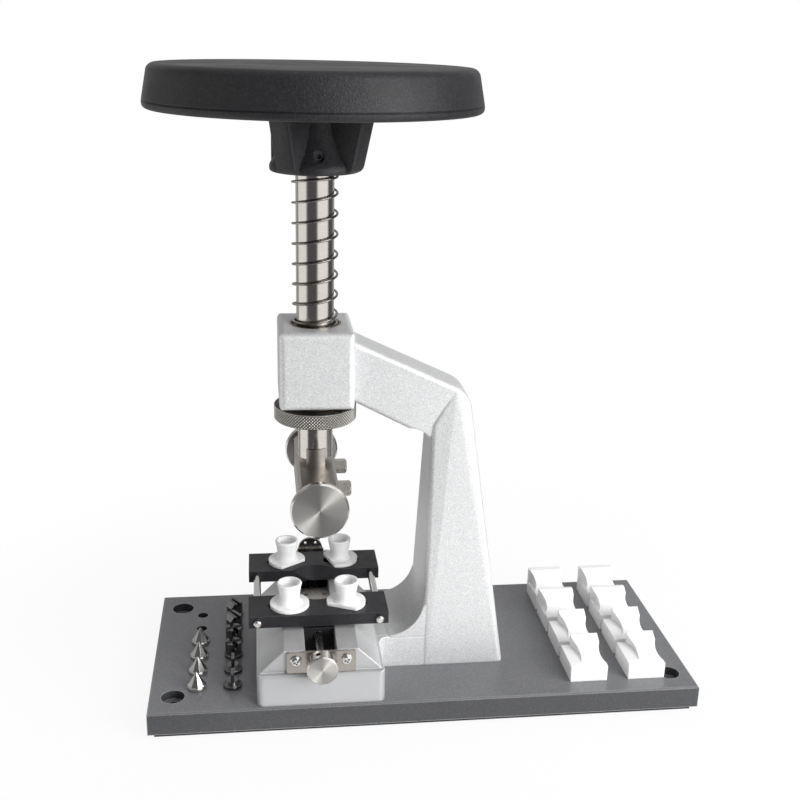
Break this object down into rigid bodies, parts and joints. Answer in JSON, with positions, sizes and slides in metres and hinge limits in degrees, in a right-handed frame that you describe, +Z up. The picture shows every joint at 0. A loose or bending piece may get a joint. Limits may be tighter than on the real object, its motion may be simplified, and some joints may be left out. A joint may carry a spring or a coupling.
{
  "type": "watch case opener",
  "caption": "Bench press for screw-back watch cases: sprung spindle with handwheel and adjustable claw chuck over a centring screw vice, on a plate with stored bits and case blocks.",
  "frame": {"origin": "on the floor under the middle of the base plate; the handwheel's middle is at the plate's mid depth", "axes": "+X along the plate towards the case blocks, +Y away from the operator, +Z up the spindle"},
  "size_m": [0.286, 0.1614, 0.3238],
  "materials": {
    "grey_paint": "satin",
    "rubber": "matt",
    "silver_casting": "fine sparkle, semi-gloss",
    "steel": "turned",
    "bronze": "turned",
    "nickel": "satin nickel",
    "bright_steel": "polished",
    "gunmetal": "blackened",
    "black_moulding": "semi-gloss, fine grain",
    "black_oxide": "blackened, satin",
    "nylon": "smooth white",
    "spring_steel": "drawn wire"
  },
  "bodies": {
    "stand": {"base_plate": "grey_paint", "rubber_mat": "rubber", "frame_casting": "silver_casting", "frame_bolts": "black_oxide", "upper_bush": "bronze", "lower_bush": "bronze", "front_cover_plate": "nickel", "cover_screws": "bright_steel", "rear_end_plate": "nickel", "centre_bearing": "nickel", "cone_bit_1": "bright_steel", "cone_bit_2": "bright_steel", "cone_bit_3": "bright_steel", "cone_bit_4": "bright_steel", "slotted_bit_1": "gunmetal", "slotted_bit_2": "gunmetal", "crown_bit_1": "gunmetal", "crown_bit_2": "gunmetal", "blade_bit_1": "gunmetal", "blade_bit_2": "gunmetal", "case_block_1": "nylon", "case_block_2": "nylon", "case_block_3": "nylon", "case_block_4": "nylon", "case_block_5": "nylon", "case_block_6": "nylon", "case_block_7": "nylon", "case_block_8": "nylon"},
    "spring_end": {"return_spring": "spring_steel"},
    "spindle": {"spindle": "nickel", "handwheel": "black_moulding", "stop_collar": "nickel", "set_screws": "black_oxide", "chuck_body": "steel", "chuck_pin": "steel"},
    "chuck_screw": {"adjusting_screw": "steel", "front_thumb_disc": "nickel", "rear_thumb_disc": "nickel"},
    "front_claw_slide": {"front_claw_holder": "steel", "front_claw": "gunmetal", "front_clamp_screw": "nickel"},
    "rear_claw_slide": {"rear_claw_holder": "steel", "rear_claw": "gunmetal", "rear_clamp_screw": "nickel"},
    "vice_screw": {"lead_screw": "steel", "lead_knob": "nickel"},
    "front_jaw_slide": {"front_jaw": "black_oxide", "front_slider": "black_oxide"},
    "rear_jaw_slide": {"rear_jaw": "black_oxide", "rear_slider": "black_oxide", "guide_rods": "bright_steel"},
    "nut_front_left": {"stud_nut_front_left": "steel"},
    "stud_front_left": {"stud_front_left": "nylon"},
    "nut_front_right": {"stud_nut_front_right": "steel"},
    "stud_front_right": {"stud_front_right": "nylon"},
    "nut_rear_left": {"stud_nut_rear_left": "steel"},
    "stud_rear_left": {"stud_rear_left": "nylon"},
    "nut_rear_right": {"stud_nut_rear_right": "steel"},
    "stud_rear_right": {"stud_rear_right": "nylon"}
  },
  "joints": [
    {"name": "press_stroke", "type": "slide", "parent": "stand", "child": "spring_end", "axis": [0, 0, -1], "range_m": [0, 0.031], "stiffness_N_per_m": 400, "springref_m": -0.045, "deforming": ["return_spring"]},
    {"name": "spindle_turn", "type": "hinge", "parent": "spring_end", "child": "spindle", "pos_m": [-0.056, 0, 0.2025], "axis": [0, 0, 1], "continuous": true},
    {"name": "chuck_screw_turn", "type": "hinge", "parent": "spindle", "child": "chuck_screw", "pos_m": [-0.056, 0, 0.1146], "axis": [0, 1, 0], "range_deg": [-1800, 1440]},
    {"name": "front_claw_travel", "type": "slide", "parent": "spindle", "child": "front_claw_slide", "axis": [0, 1, 0], "range_m": [-0.01, 0.008]},
    {"name": "rear_claw_travel", "type": "slide", "parent": "spindle", "child": "rear_claw_slide", "axis": [0, -1, 0], "range_m": [-0.01, 0.008]},
    {"name": "vice_screw_turn", "type": "hinge", "parent": "stand", "child": "vice_screw", "pos_m": [-0.056, 0, 0.0396], "axis": [0, 1, 0], "range_deg": [-1710, 2430]},
    {"name": "front_jaw_travel", "type": "slide", "parent": "stand", "child": "front_jaw_slide", "axis": [0, 1, 0], "range_m": [-0.0095, 0.0135]},
    {"name": "rear_jaw_travel", "type": "slide", "parent": "stand", "child": "rear_jaw_slide", "axis": [0, -1, 0], "range_m": [-0.0095, 0.0135]},
    {"name": "front_left_stud_slide", "type": "slide", "parent": "front_jaw_slide", "child": "nut_front_left", "axis": [1, 0, 0], "range_m": [-0.008, 0.006]},
    {"name": "front_left_stud_turn", "type": "hinge", "parent": "nut_front_left", "child": "stud_front_left", "pos_m": [-0.0708, -0.0254, 0.0564], "axis": [0, 0, 1], "continuous": true},
    {"name": "front_right_stud_slide", "type": "slide", "parent": "front_jaw_slide", "child": "nut_front_right", "axis": [1, 0, 0], "range_m": [-0.006, 0.008]},
    {"name": "front_right_stud_turn", "type": "hinge", "parent": "nut_front_right", "child": "stud_front_right", "pos_m": [-0.0412, -0.0254, 0.0564], "axis": [0, 0, 1], "continuous": true},
    {"name": "rear_left_stud_slide", "type": "slide", "parent": "rear_jaw_slide", "child": "nut_rear_left", "axis": [1, 0, 0], "range_m": [-0.008, 0.006]},
    {"name": "rear_left_stud_turn", "type": "hinge", "parent": "nut_rear_left", "child": "stud_rear_left", "pos_m": [-0.0708, 0.0254, 0.0564], "axis": [0, 0, 1], "continuous": true},
    {"name": "rear_right_stud_slide", "type": "slide", "parent": "rear_jaw_slide", "child": "nut_rear_right", "axis": [1, 0, 0], "range_m": [-0.006, 0.008]},
    {"name": "rear_right_stud_turn", "type": "hinge", "parent": "nut_rear_right", "child": "stud_rear_right", "pos_m": [-0.0412, 0.0254, 0.0564], "axis": [0, 0, 1], "continuous": true}
  ],
  "couplings": [
    {"joint": "rear_claw_travel", "follows": "front_claw_travel", "ratio": 1},
    {"joint": "chuck_screw_turn", "follows": "front_claw_travel", "rad_per_m": 3141.6},
    {"joint": "rear_jaw_travel", "follows": "front_jaw_travel", "ratio": 1},
    {"joint": "vice_screw_turn", "follows": "front_jaw_travel", "rad_per_m": 3141.6}
  ]
}
